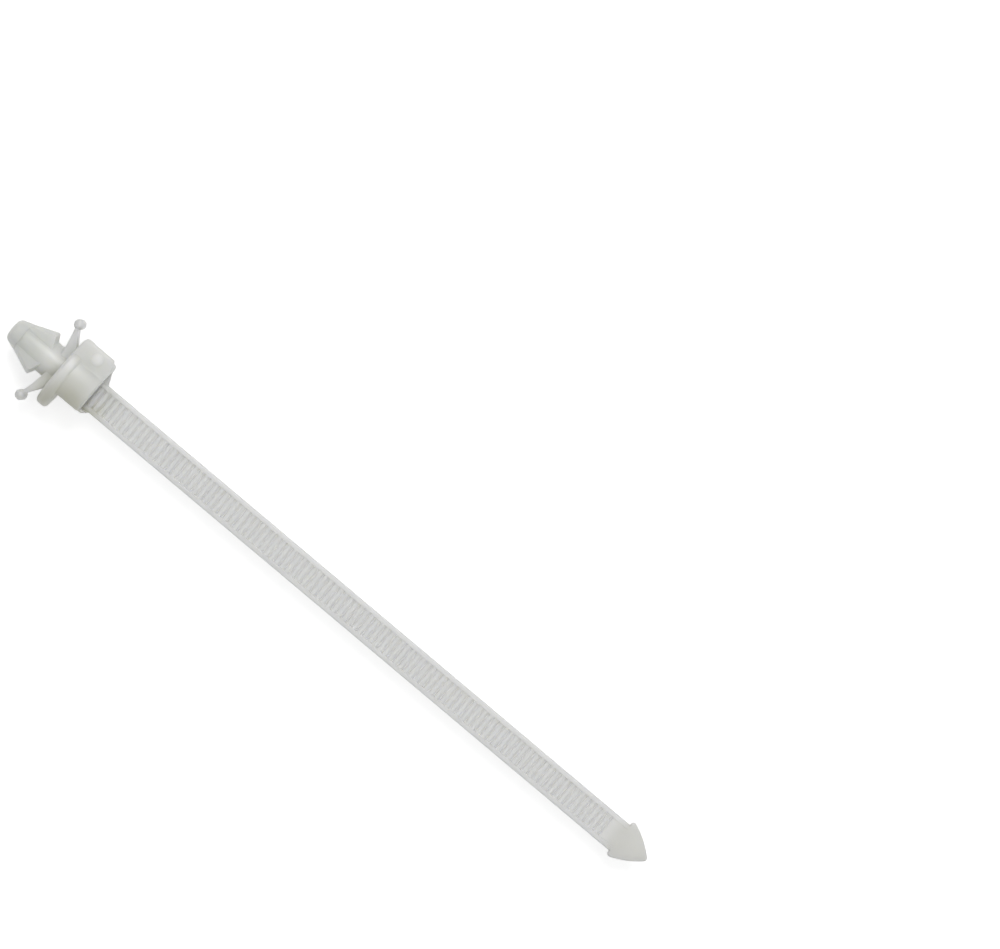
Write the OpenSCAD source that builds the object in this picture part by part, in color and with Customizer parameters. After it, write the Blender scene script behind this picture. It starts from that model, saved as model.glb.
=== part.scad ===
// Cable tie with a snap-in panel post, moulded in one piece in natural nylon.
// The origin is the centre of the flange's panel face. +Y runs along the post, out through the panel,
// the strap runs along -Y, and +Z is the toothed side of the strap.

/* [Strap] */
// Length from the nose of the post to the point of the strap
overall_length = 120; // [90:1:200]
// Width of the strap
strap_width = 4.8; // [4.2:0.1:5.4]
// Thickness of the strap over its rails
strap_thickness = 1.15; // [0.95:0.05:1.35]
// Width of the rail on each side of the teeth
rail_width = 0.75; // [0.5:0.05:1]
// Chamfer along the outer edge of each rail
rail_chamfer = 0.2; // [0.1:0.05:0.3]
// Chamfer along both edges of the smooth back
back_chamfer = 0.15; // [0.05:0.05:0.25]
// How far the tooth crests lie below the rails
crest_drop = 0.12; // [0.06:0.02:0.2]
// Distance from one tooth to the next
tooth_pitch = 0.98; // [0.86:0.02:1.3]
// Depth of the valleys below the tooth crests
tooth_depth = 0.42; // [0.3:0.02:0.5]
// Flat floor of each valley
valley_floor = 0.2; // [0.1:0.02:0.3]
// Run of the steep locking flank, on the head side of each tooth
lock_run = 0.05; // [0.02:0.01:0.1]
// Run of the sloping flank, on the tip side of each tooth
ramp_run = 0.2; // [0.1:0.02:0.3]
// Smooth stretch between the last tooth and the arrow tip
plain_length = 1.2; // [1:0.1:4]

/* [Arrow tip] */
// Width across the shoulders of the tip
tip_width = 6.2; // [5.8:0.1:8]
// Length of the tip from its shoulders to its point
tip_length = 5.1; // [4:0.1:8]
// Radius of the point
point_radius = 0.5; // [0.2:0.05:0.8]
// Radius of the tip's shoulders
shoulder_radius = 0.45; // [0.2:0.05:0.6]

/* [Head] */
// Radius of the rounded front of the head
barrel_radius = 5.4; // [5:0.1:5.6]
// Height of the head below the flange
head_height = 4.05; // [3.7:0.05:5]
// Thickness of the front wall, in the middle of the mouth of the slot
front_wall = 2.4; // [2:0.1:2.7]
// Thickness of the thin wall beside the slot
side_wall = 0.5; // [0.4:0.05:0.7]
// Chamfer round the lower edge of the head
foot_chamfer = 0.35; // [0.1:0.05:0.5]
// Room over the thickness of the tail in its slot
tail_clearance = 0.28; // [0.2:0.02:0.4]
// Room on each side of the tail in its slot
side_clearance = 0.15; // [0.05:0.05:0.2]
// Length of the webs that widen the strap into the head
web_drop = 0.85; // [0.4:0.05:1.2]
// Width of the web on the block's side of the strap
web_width = 1.9; // [1:0.1:2.2]
// Depth of the web behind the root of the strap
web_depth = 0.8; // [0.4:0.1:1.2]
// Drop of the thin wall's slanting cheek at its front edge
cheek_front = 0.4; // [0.1:0.05:0.6]
// Drop of the cheek beside the strap
cheek_drop = 1.15; // [0.9:0.05:1.6]

/* [Block] */
// Width of the solid block beside the slot
block_width = 3.5; // [3:0.05:4.5]
// Height of the block's face above the post axis
block_front = 4.7; // [4.4:0.1:4.9]
// Depth of the block behind the post axis
block_back = 2.5; // [2:0.1:3.2]
// How far the block's top lies below the flange face
block_drop = 0.15; // [0.1:0.05:0.4]
// Radius of the block's front corner
block_front_radius = 0.5; // [0.3:0.1:1.2]
// Radius of the block's back corner
block_back_radius = 2.5; // [1.5:0.1:2.8]
// Radius of the corner under the panel
block_top_radius = 0.8; // [0.4:0.1:1.2]
// Width of the slanting lower corner
slant_width = 1.8; // [1:0.1:2]
// Height of the slanting lower corner
slant_height = 1.15; // [0.6:0.05:1.6]
// Diameter of the round moulding mark on the block's face
mark_diameter = 1.9; // [1.6:0.1:2.1]
// How far the round mark stands proud
mark_height = 0.08; // [0.04:0.02:0.2]
// Height of the mark's centre above the foot of the head
mark_rise = 2.6; // [2.2:0.05:2.8]
// Distance from the block's outer wall to the mark's centre
mark_inset = 1.6; // [1.5:0.05:1.9]

/* [Pawl] */
// Distance along the slot from its mouth to the root of the pawl
pawl_root = 2.2; // [2:0.1:2.4]
// Length of the pawl
pawl_length = 2; // [1.7:0.1:2.2]
// Thickness of the pawl under its teeth
pawl_thickness = 0.5; // [0.4:0.05:0.6]
// Gap under and beside the pawl
pawl_gap = 0.3; // [0.2:0.05:0.4]
// Depth to which the pawl teeth reach into the strap teeth
pawl_bite = 0.25; // [0.15:0.01:0.3]
// Number of teeth on the pawl
pawl_teeth = 2; // [1:1:2]

/* [Flange] */
// Diameter of the flange
flange_diameter = 11.8; // [11.4:0.1:14]
// Thickness of the flange
flange_thickness = 1.9; // [1.5:0.1:2.4]
// Radius round the rim of the flange
rim_radius = 0.4; // [0.2:0.05:0.9]

/* [Wings] */
// Distance from the post axis to the middle of the bead along each wing tip
bead_reach = 6.6; // [6:0.05:8]
// Radius of the bead
bead_radius = 0.8; // [0.6:0.05:1]
// Height of the bead's middle above the flange face
bead_height = 2; // [1.7:0.05:2.2]
// Width of the wings from front to back
wing_width = 4.2; // [3.6:0.1:5]
// Distance from the post axis to the line where a wing leaves the flange
wing_root = 3.6; // [3.2:0.1:4.2]
// Height of a wing's upper side above the middle of its bead
wing_neck = 0.4; // [0.2:0.05:0.6]
// Height of the wings' upper side where it crosses the post
wing_crown = 1.55; // [0.9:0.05:1.9]
// Depth to which the wings sink into the flange
wing_sink = 0.3; // [0.1:0.05:0.6]

/* [Snap post] */
// Diameter of the post
post_diameter = 5.3; // [4.8:0.1:5.6]
// Width across the barbs
barb_width = 7.5; // [6.8:0.1:8.4]
// Height of the nose above the flange face
nose_height = 9.1; // [8.6:0.1:10.6]
// Height of the lower edge of the barbs
barb_height = 3.3; // [3.1:0.05:4]
// Land along the outer edge of the barbs
barb_land = 0.3; // [0.1:0.05:0.5]
// How far the underside of the barbs falls towards the post
barb_undercut = 0.6; // [0.3:0.05:0.7]
// Diameter to which the nose would taper without its rounded end
nose_diameter = 3.4; // [2.8:0.1:3.8]
// Radius round the flat end of the nose
nose_radius = 0.7; // [0.3:0.05:0.9]
// Height above which the nose is fully round
cap_height = 7.1; // [6.6:0.05:7.6]
// Diameter of the nose at that height
cap_diameter = 4.65; // [4.2:0.05:5]
// Diameter to which the ridge down the middle of the arrowhead tapers below the cap
ridge_diameter = 3.9; // [3.2:0.1:4.1]
// Thickness of the arrowhead at its barbs
barb_thickness = 4.9; // [3.4:0.1:5]
// Thickness of the arrowhead below its round cap
neck_thickness = 2.6; // [2:0.1:3.3]

/* [Hidden] */
$fn = 96;
nylon = [0.86, 0.87, 0.83];
// Overlap of joined shapes, and run of each cutter past the surface that it opens
merge = 0.4;
past = 2;

flange_radius = flange_diameter / 2;
post_radius = post_diameter / 2;
barb_radius = barb_width / 2;
ridge_radius = ridge_diameter / 2;
cap_radius = cap_diameter / 2;
rim = min(rim_radius, flange_thickness / 2 - 0.05);
strap_half = strap_width / 2;
channel_width = strap_width - 2 * rail_width;

slot_width = strap_width + 2 * side_clearance;
slot_half = slot_width / 2;
slot_height = strap_thickness + tail_clearance;
foot_y = -flange_thickness - head_height;
mouth_front = barrel_radius - front_wall;
slot_angle = atan(head_height / (mouth_front + barrel_radius));
mouth_back = round(100 * (mouth_front - slot_height / sin(slot_angle))) / 100;
slot_length = (mouth_back + barrel_radius) / cos(slot_angle) + past;
wall_x = -slot_half - side_wall;
block_x = slot_half + block_width;
mark_x = block_x - mark_inset;

rail_top = mouth_back;
crest_top = rail_top - crest_drop;
valley_top = crest_top - tooth_depth;
strap_back = rail_top - strap_thickness;

point_y = nose_height - overall_length;
shoulder_y = point_y + tip_length;
tooth_count = floor((foot_y - shoulder_y - plain_length) / tooth_pitch);
tip_half = tip_width / 2;
tip_arc = ((tip_length - point_radius) ^ 2 + tip_half ^ 2 - point_radius ^ 2)
    / (2 * (tip_half - point_radius));

nose_angle = atan((cap_radius - nose_diameter / 2) / (nose_height - cap_height));
cone_level = cap_radius * cos(nose_angle) + cap_height * sin(nose_angle);
nose_flat = (cone_level - nose_radius - (nose_height - nose_radius) * sin(nose_angle))
    / cos(nose_angle);

saddle_rise = bead_height + wing_neck - wing_crown;
saddle_radius = (bead_reach ^ 2 + saddle_rise ^ 2) / (2 * saddle_rise);

// Points of one tooth, from the valley on its head side to the foot of its ramp, as [y, z]
function tooth_points(head_y) = [
    [head_y, valley_top],
    [head_y - valley_floor, valley_top],
    [head_y - valley_floor - lock_run, crest_top],
    [head_y - tooth_pitch + ramp_run, crest_top]
];

// Turns a side profile drawn as [y, z] into a solid of the given width across the tie
module across(width) {
    rotate([90, 0, 90])
        linear_extrude(width, center = true)
            children();
}

// Turns a plan drawn as [x, z] into a solid that runs down from the given height
module downwards(top_y, depth) {
    translate([0, top_y, 0])
        rotate([90, 0, 0])
            linear_extrude(depth)
                children();
}

// Turns a front outline drawn as [x, y] into a solid between two heights above the post axis
module between(back_z, front_z) {
    translate([0, 0, back_z])
        linear_extrude(front_z - back_z)
            children();
}

// Turns a profile drawn as [radius, y] into a solid of revolution about the post axis
module about_post() {
    rotate([-90, 0, 0])
        rotate_extrude()
            children();
}

// Places a shape drawn as [distance along the slot, height above its floor] in the side profile
module in_slot() {
    translate([foot_y, mouth_back])
        rotate(slot_angle - 90)
            children();
}

// Sliver that rounds an upper right corner to the given radius
module corner_sliver(corner, radius) {
    translate(corner - [radius, radius])
        difference() {
            square(radius + past);
            circle(radius);
        }
}

module flange() {
    about_post()
        translate([0, -flange_thickness]) {
            square([flange_radius - rim, flange_thickness]);
            translate([0, rim])
                square([flange_radius, flange_thickness - 2 * rim]);
            for (level = [rim, flange_thickness - rim])
                translate([flange_radius - rim, level])
                    circle(rim);
        }
}

module nose_profile() {
    polygon([
        [0, barb_height - barb_undercut],
        [post_radius, barb_height - barb_undercut],
        [barb_radius, barb_height],
        [barb_radius, barb_height + barb_land],
        [cap_radius, cap_height],
        [
            nose_flat + nose_radius * cos(nose_angle),
            nose_height - nose_radius + nose_radius * sin(nose_angle)
        ],
        [nose_flat, nose_height],
        [0, nose_height]
    ]);
    translate([nose_flat, nose_height - nose_radius])
        circle(nose_radius);
}

// Cone of the nose, cut to two flat tapered barbs below its round cap
module arrowhead() {
    intersection() {
        about_post()
            nose_profile();
        union() {
            across(barb_width + past)
                polygon([
                    [barb_height - barb_undercut - merge, barb_thickness / 2],
                    [cap_height + merge, neck_thickness / 2],
                    [cap_height + merge, -neck_thickness / 2],
                    [barb_height - barb_undercut - merge, -barb_thickness / 2]
                ]);
            about_post()
                translate([0, cap_height])
                    square([barb_width, nose_height]);
        }
    }
}

// Round post that runs on as a tapering ridge between the barbs, up into the cap
module post() {
    about_post()
        polygon([
            [0, -merge],
            [post_radius, -merge],
            [post_radius, barb_height],
            [ridge_radius, cap_height],
            [ridge_radius, cap_height + merge],
            [0, cap_height + merge]
        ]);
}

// Saddle through the post, with a wing that rises from the flange to a bead on each side
module wing_profile() {
    difference() {
        polygon([
            [-wing_root, -wing_sink],
            [wing_root, -wing_sink],
            [wing_root, 0],
            [bead_reach, bead_height],
            [bead_reach, bead_height + bead_radius],
            [-bead_reach, bead_height + bead_radius],
            [-bead_reach, bead_height],
            [-wing_root, 0]
        ]);
        translate([0, saddle_radius + wing_crown])
            circle(saddle_radius);
    }
}

module wings() {
    between(-wing_width / 2, wing_width / 2)
        wing_profile();
    for (side = [-1, 1])
        translate([side * bead_reach, bead_height, 0]) {
            cylinder(h = wing_width - bead_radius, r = bead_radius, center = true);
            for (end = [-1, 1])
                translate([0, 0, end * (wing_width - bead_radius) / 2])
                    sphere(bead_radius);
        }
}

// Round front and back of the head, cut flat on the side of the thin wall
module barrel() {
    intersection() {
        about_post()
            polygon([
                [0, -merge],
                [barrel_radius, -merge],
                [barrel_radius, foot_y + foot_chamfer],
                [barrel_radius - foot_chamfer, foot_y],
                [0, foot_y]
            ]);
        between(-barrel_radius - past, barrel_radius + past)
            translate([wall_x, foot_y - past])
                square([barrel_radius - wall_x + past, -foot_y + past]);
    }
}

// Plan of the block, from inside the head to its outer wall
module block_plan() {
    difference() {
        translate([0, -block_back])
            square([block_x, block_back + block_front]);
        corner_sliver([block_x, block_front], block_front_radius);
        mirror([0, 1])
            corner_sliver([block_x, block_back], block_back_radius);
    }
}

// Front outline of the block, with its round upper corner and slanting lower one
module block_outline() {
    difference() {
        polygon([
            [0, -block_drop],
            [0, foot_y],
            [block_x - slant_width, foot_y],
            [block_x, foot_y + slant_height],
            [block_x, -block_drop]
        ]);
        corner_sliver([block_x, -block_drop], block_top_radius);
    }
}

module block() {
    intersection() {
        downwards(0, -foot_y + past)
            block_plan();
        between(-block_back - past, block_front + past)
            block_outline();
    }
    translate([mark_x, foot_y + mark_rise, 0])
        cylinder(h = block_front + mark_height, d = mark_diameter);
}

// Slanting cheek under the thin wall, and webs beside and behind the root of the strap
module root_webs() {
    cheek_fall = (cheek_drop - cheek_front) * (-slot_half - wall_x) / (-strap_half - wall_x);
    intersection() {
        between(strap_back + back_chamfer, mouth_front + past)
            polygon([
                [wall_x, foot_y + merge],
                [wall_x, foot_y - cheek_front],
                [-slot_half, foot_y - cheek_front - cheek_fall],
                [-slot_half, foot_y + merge]
            ]);
        across(2 * barrel_radius)
            polygon([
                [foot_y + past, mouth_front],
                [foot_y - cheek_front, mouth_front],
                [foot_y - cheek_drop - past, crest_top - past],
                [foot_y + past, crest_top - past]
            ]);
    }
    between(strap_back + back_chamfer, crest_top) {
        polygon([
            [wall_x, foot_y + merge],
            [wall_x, foot_y - cheek_front],
            [-strap_half, foot_y - cheek_drop],
            [merge - strap_half, foot_y - cheek_drop],
            [merge - strap_half, foot_y + merge]
        ]);
        polygon([
            [strap_half - merge, foot_y + merge],
            [strap_half - merge, foot_y - web_drop],
            [strap_half, foot_y - web_drop],
            [strap_half + web_width, foot_y],
            [strap_half + web_width, foot_y + merge]
        ]);
    }
    across(strap_width - 2 * rail_chamfer)
        polygon([
            [foot_y + merge, strap_back + merge],
            [foot_y - web_depth, strap_back + back_chamfer],
            [foot_y, strap_back - web_depth],
            [foot_y + merge, strap_back - web_depth]
        ]);
}

// Straight passage for the tail, from the mouth in front of the strap to the back under the flange
module tail_slot() {
    across(slot_width)
        in_slot()
            translate([-past, 0])
                square([slot_length + past, slot_height]);
}

// Space under and beside the pawl, open at the back
module pawl_pocket() {
    across(channel_width + pawl_gap)
        in_slot()
            translate([pawl_root, -pawl_thickness - pawl_gap])
                square([slot_length - pawl_root, pawl_thickness + pawl_gap + merge]);
}

// Springy tongue in the floor of the slot, with teeth that point to the exit
module pawl() {
    bite_top = tail_clearance + crest_drop + pawl_bite;
    tongue_end = pawl_root + pawl_length;
    across(channel_width - pawl_gap)
        in_slot() {
            translate([pawl_root - merge, -pawl_thickness])
                square([pawl_length + merge, pawl_thickness]);
            for (i = [0 : pawl_teeth - 1])
                polygon([
                    [tongue_end - (i + 1) * tooth_pitch + lock_run, -pawl_thickness / 2],
                    [tongue_end - i * tooth_pitch, -pawl_thickness / 2],
                    [tongue_end - i * tooth_pitch, bite_top],
                    [tongue_end - i * tooth_pitch - valley_floor / 2, bite_top],
                    [tongue_end - (i + 1) * tooth_pitch + lock_run, 0]
                ]);
        }
}

module head() {
    difference() {
        union() {
            barrel();
            block();
            root_webs();
        }
        tail_slot();
        pawl_pocket();
    }
    pawl();
}

// Cross-section of the strap over its rails, as [x, z]
module strap_section() {
    polygon([
        [-strap_half, rail_top - rail_chamfer],
        [-strap_half + rail_chamfer, rail_top],
        [strap_half - rail_chamfer, rail_top],
        [strap_half, rail_top - rail_chamfer],
        [strap_half, strap_back + back_chamfer],
        [strap_half - back_chamfer, strap_back],
        [-strap_half + back_chamfer, strap_back],
        [-strap_half, strap_back + back_chamfer]
    ]);
}

// Everything above the ratchet teeth, as a side profile that ends in the plain stretch before the tip
module channel_profile() {
    teeth_end_y = foot_y - tooth_count * tooth_pitch;
    polygon(concat(
        [[foot_y, rail_top + past]],
        [for (i = [0 : tooth_count - 1]) each tooth_points(foot_y - i * tooth_pitch)],
        [
            [teeth_end_y, crest_top],
            [shoulder_y - past, crest_top],
            [shoulder_y - past, rail_top + past]
        ]
    ));
}

// Outline of the arrow tip: two arcs from rounded shoulders to a rounded point
module tip_outline() {
    point_centre = tip_length - point_radius;
    arc_end = point_centre * tip_arc / (tip_arc - point_radius);
    translate([0, shoulder_y]) {
        difference() {
            intersection() {
                translate([tip_half - tip_arc, 0])
                    circle(tip_arc);
                translate([tip_arc - tip_half, 0])
                    circle(tip_arc);
                translate([-tip_half, -arc_end])
                    square([tip_width, arc_end]);
            }
            for (side = [0, 1])
                mirror([side, 0])
                    corner_sliver([tip_half, 0], shoulder_radius);
        }
        translate([0, -point_centre])
            circle(point_radius);
    }
}

// Root of the strap reaches a little way up into the floor of the slot
module strap() {
    root_rise = back_chamfer;
    difference() {
        downwards(foot_y + root_rise, foot_y + root_rise - shoulder_y)
            strap_section();
        across(channel_width)
            channel_profile();
        tail_slot();
    }
    between(strap_back, crest_top)
        tip_outline();
}

module cable_tie() {
    color(nylon) {
        arrowhead();
        post();
        wings();
        flange();
        head();
        strap();
    }
}

cable_tie();
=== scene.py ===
"""Dresses the push-mount cable tie as one milky nylon moulding on a white studio floor.

Every sub-assembly is modelled in millimetres with bmesh operators, the solids are joined into one skin,
and the skin is then brought to metres in the frame's own axes: +Y along the snap post, strap along -Y,
+Z on the toothed side.
"""

import logging
import math
from contextlib import contextmanager
from dataclasses import dataclass
from enum import Enum
from typing import Any, Callable, Iterable, Iterator, Sequence

import bmesh
import bpy
from bmesh.types import BMEdge, BMesh, BMVert
from mathutils import Matrix, Vector


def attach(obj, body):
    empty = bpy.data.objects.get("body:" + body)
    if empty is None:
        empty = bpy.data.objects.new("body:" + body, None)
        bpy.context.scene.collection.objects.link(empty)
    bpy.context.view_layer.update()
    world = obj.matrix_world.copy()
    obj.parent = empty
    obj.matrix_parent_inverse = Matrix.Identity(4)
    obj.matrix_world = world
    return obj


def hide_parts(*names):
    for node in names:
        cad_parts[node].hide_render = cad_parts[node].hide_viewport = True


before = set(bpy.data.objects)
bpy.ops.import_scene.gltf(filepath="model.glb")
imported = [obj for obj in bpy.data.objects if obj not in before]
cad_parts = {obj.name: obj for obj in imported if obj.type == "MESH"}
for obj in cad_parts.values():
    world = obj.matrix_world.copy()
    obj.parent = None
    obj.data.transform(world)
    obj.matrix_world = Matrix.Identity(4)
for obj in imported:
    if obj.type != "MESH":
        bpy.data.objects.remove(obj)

LOG = logging.getLogger("cable_tie")
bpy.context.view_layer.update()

# Metres in a millimetre
MM = 0.001
# How far a tool runs past what it shapes, and how far joined solids run into each other
PAST = 2.0
MERGE = 0.4
# Step that keeps two faces out of one plane, and slack when edges are picked by their place
HAIR = 0.02
NEAR = 0.01
# Least length of an edge that runs along a piece
LONG = 1.0
# Distances under which two points become one
WELD = 0.0005
AXIS_WELD = 0.0001
# Steps of a full turn
SPIN_STEPS = 96
# Strips across a fine, a plain, a corner and a broad rounding
FINE_STRIPS = 2
PLAIN_STRIPS = 3
CORNER_STRIPS = 4
BROAD_STRIPS = 6
# Least turn of an edge that counts as sharp, and of one that stays sharp in the shading
SHARP_TURN = 50.0
SOFT_ANGLE = math.radians(30.0)
# Sockets of a Mix node that blends colours
MIX_FIRST = 6
MIX_SECOND = 7
MIX_RESULT = 2

Outline = list[tuple[float, float]]
Point = tuple[float, float, float]
Colour = tuple[float, float, float, float]


class Axis(Enum):
    """Axis that a flat outline is drawn out along."""

    X = 0
    Y = 1
    Z = 2

    def point(self, first: float, second: float, along: float) -> Vector:
        """Places an outline point in the frame.

        Args:
            first: Outline coordinate on the lower of the two other axes.
            second: Outline coordinate on the higher of the two other axes.
            along: Coordinate along this axis.

        Returns:
            The point in the frame.
        """
        place = [first, second]
        place.insert(self.value, along)
        return Vector(place)


class Join(Enum):
    """Ways in which one solid is combined with another."""

    ADD = "UNION"
    CUT = "DIFFERENCE"
    KEEP = "INTERSECT"


class Socket(Enum):
    """Kinds of value that a shader group takes or puts out."""

    NUMBER = "NodeSocketFloat"
    POINT = "NodeSocketVector"
    COLOUR = "NodeSocketColor"


def arc(centre: tuple[float, float], radius: float, start: float, end: float, steps: int) -> Outline:
    """Points along a circular arc.

    Args:
        centre: Centre of the arc.
        radius: Radius of the arc.
        start: First angle in degrees.
        end: Last angle in degrees.
        steps: Number of straight steps.

    Returns:
        The points, both ends included.
    """
    turns = [math.radians(start + (end - start) * i / steps) for i in range(steps + 1)]
    return [(centre[0] + radius * math.cos(t), centre[1] + radius * math.sin(t)) for t in turns]


def made_verts(result: dict[str, list]) -> list[BMVert]:
    """Vertices among the geometry that an operator made."""
    return [item for item in result["geom"] if isinstance(item, BMVert)]


def prism(outline: Outline, axis: Axis, low: float, high: float) -> BMesh:
    """Draws a flat outline out into a closed solid.

    Args:
        outline: Corner points in order.
        axis: Direction of the draw.
        low: Start along the axis.
        high: End along the axis.

    Returns:
        The solid.
    """
    solid = bmesh.new()
    face = solid.faces.new([solid.verts.new(axis.point(a, b, low)) for a, b in outline])
    drawn = bmesh.ops.extrude_face_region(solid, geom=[face])
    bmesh.ops.translate(solid, verts=made_verts(drawn), vec=axis.point(0.0, 0.0, high - low))
    bmesh.ops.recalc_face_normals(solid, faces=solid.faces)
    return solid


def spun(profile: Outline) -> BMesh:
    """Turns a profile drawn as radius and height once round the post axis.

    Args:
        profile: Points from the axis, round the outside and back to the axis.

    Returns:
        The closed solid of revolution.
    """
    solid = bmesh.new()
    points = [solid.verts.new((radius, height, 0.0)) for radius, height in profile]
    edges = [solid.edges.new(pair) for pair in zip(points, points[1:])]
    bmesh.ops.spin(
        solid,
        geom=points + edges,
        cent=(0.0, 0.0, 0.0),
        axis=(0.0, 1.0, 0.0),
        angle=math.tau,
        steps=SPIN_STEPS,
        use_merge=True,
    )
    bmesh.ops.remove_doubles(solid, verts=solid.verts, dist=AXIS_WELD)
    bmesh.ops.recalc_face_normals(solid, faces=solid.faces)
    return solid


def rod(radius: float, length: float, facets: int) -> BMesh:
    """Makes a round rod along Z with its middle at the origin.

    Args:
        radius: Radius of the rod.
        length: Length of the rod.
        facets: Flat sides round the rod.

    Returns:
        The rod.
    """
    solid = bmesh.new()
    bmesh.ops.create_cone(
        solid, cap_ends=True, segments=facets, radius1=radius, radius2=radius, depth=length
    )
    return solid


def edges_where(solid: BMesh, test: Callable[[Vector, Vector], bool]) -> list[BMEdge]:
    """Edges of a solid whose two ends pass a test."""
    return [edge for edge in solid.edges if test(edge.verts[0].co, edge.verts[1].co)]


def ring_edges(solid: BMesh, radius: float, low: float) -> list[BMEdge]:
    """Edges that run round the post axis at one radius.

    Args:
        solid: Solid of revolution to search.
        radius: Radius of the ring.
        low: Lowest height at which the ring may lie.

    Returns:
        The edges found.
    """
    return edges_where(
        solid,
        lambda a, b: abs(a.y - b.y) < NEAR
        and min(a.y, b.y) > low - NEAR
        and all(abs(math.hypot(end.x, end.z) - radius) < NEAR for end in (a, b)),
    )


def sharp_edges(solid: BMesh, turn: float = SHARP_TURN) -> list[BMEdge]:
    """Edges at which the surface turns by more than an angle.

    Args:
        solid: Solid to search.
        turn: Least turn in degrees.

    Returns:
        The edges found.
    """
    limit = math.radians(turn)
    return [e for e in solid.edges if len(e.link_faces) == 2 and e.calc_face_angle(0.0) > limit]


def soften(solid: BMesh, edges: Iterable[BMEdge], width: float, strips: int = PLAIN_STRIPS) -> None:
    """Rounds edges of a solid.

    Args:
        solid: Solid to change.
        edges: Edges to round.
        width: Distance from the edge to the start of the rounding.
        strips: Strips across the rounding.
    """
    bmesh.ops.bevel(
        solid,
        geom=list(edges),
        offset=width,
        offset_type="OFFSET",
        affect="EDGES",
        segments=strips,
        profile=0.5,
        material=-1,
        clamp_overlap=True,
    )
    bmesh.ops.remove_doubles(solid, verts=solid.verts, dist=WELD)


def as_object(name: str, solid: BMesh) -> bpy.types.Object:
    """Makes an object of a solid and frees the solid.

    Args:
        name: Name of the object and its mesh.
        solid: Solid that is used up.

    Returns:
        The object, linked to the scene.
    """
    mesh = bpy.data.meshes.new(name)
    solid.to_mesh(mesh)
    solid.free()
    made = bpy.data.objects.new(name, mesh)
    bpy.context.scene.collection.objects.link(made)
    return made


@contextmanager
def editing(piece: bpy.types.Object) -> Iterator[BMesh]:
    """Opens an object's mesh as a solid and writes it back afterwards.

    Args:
        piece: Object to change.

    Yields:
        The solid.
    """
    solid = bmesh.new()
    solid.from_mesh(piece.data)
    yield solid
    solid.to_mesh(piece.data)
    solid.free()


def combine(target: bpy.types.Object, tool: bpy.types.Object, how: Join) -> bpy.types.Object:
    """Combines two solids in the first one's object and removes the second.

    Args:
        target: Solid that is kept.
        tool: Solid that is used up.
        how: Whether the tool is added, cut away or kept in common.

    Returns:
        The target.
    """
    modifier = target.modifiers.new("join", "BOOLEAN")
    modifier.operation = how.value
    modifier.solver = "MANIFOLD"
    modifier.object = tool
    graph = bpy.context.evaluated_depsgraph_get()
    joined = bpy.data.meshes.new_from_object(target.evaluated_get(graph))
    target.modifiers.clear()
    spent = [target.data, tool.data]
    target.data = joined
    bpy.data.objects.remove(tool, do_unlink=True)
    for mesh in spent:
        bpy.data.meshes.remove(mesh)
    with editing(target) as solid:
        bmesh.ops.remove_doubles(solid, verts=solid.verts, dist=WELD)
        bmesh.ops.dissolve_degenerate(solid, edges=solid.edges, dist=WELD)
    return target


def united(name: str, solids: Sequence[BMesh]) -> bpy.types.Object:
    """Joins several solids into one object.

    Args:
        name: Name of the object.
        solids: Solids that overlap.

    Returns:
        The joined object.
    """
    whole = as_object(name, solids[0])
    for index, solid in enumerate(solids[1:]):
        combine(whole, as_object(f"{name}_{index}", solid), Join.ADD)
    return whole


@dataclass
class Flange:
    """Round flange that closes the panel hole, a little flatter in front."""

    radius: float = 5.9
    thickness: float = 1.9
    rim_radius: float = 0.6
    front_squeeze: float = 0.945

    def build(self) -> BMesh:
        """Spins the disc, rounds both edges of its rim and flattens its front.

        Returns:
            The flange.
        """
        low, rim = -self.thickness, self.radius
        disc = spun([(0.0, low), (rim, low), (rim, 0.0), (0.0, 0.0)])
        soften(disc, ring_edges(disc, rim, low), self.rim_radius, BROAD_STRIPS)
        front = [vert for vert in disc.verts if vert.co.z > 0.0]
        bmesh.ops.scale(disc, verts=front, vec=(1.0, 1.0, self.front_squeeze))
        return disc


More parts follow.
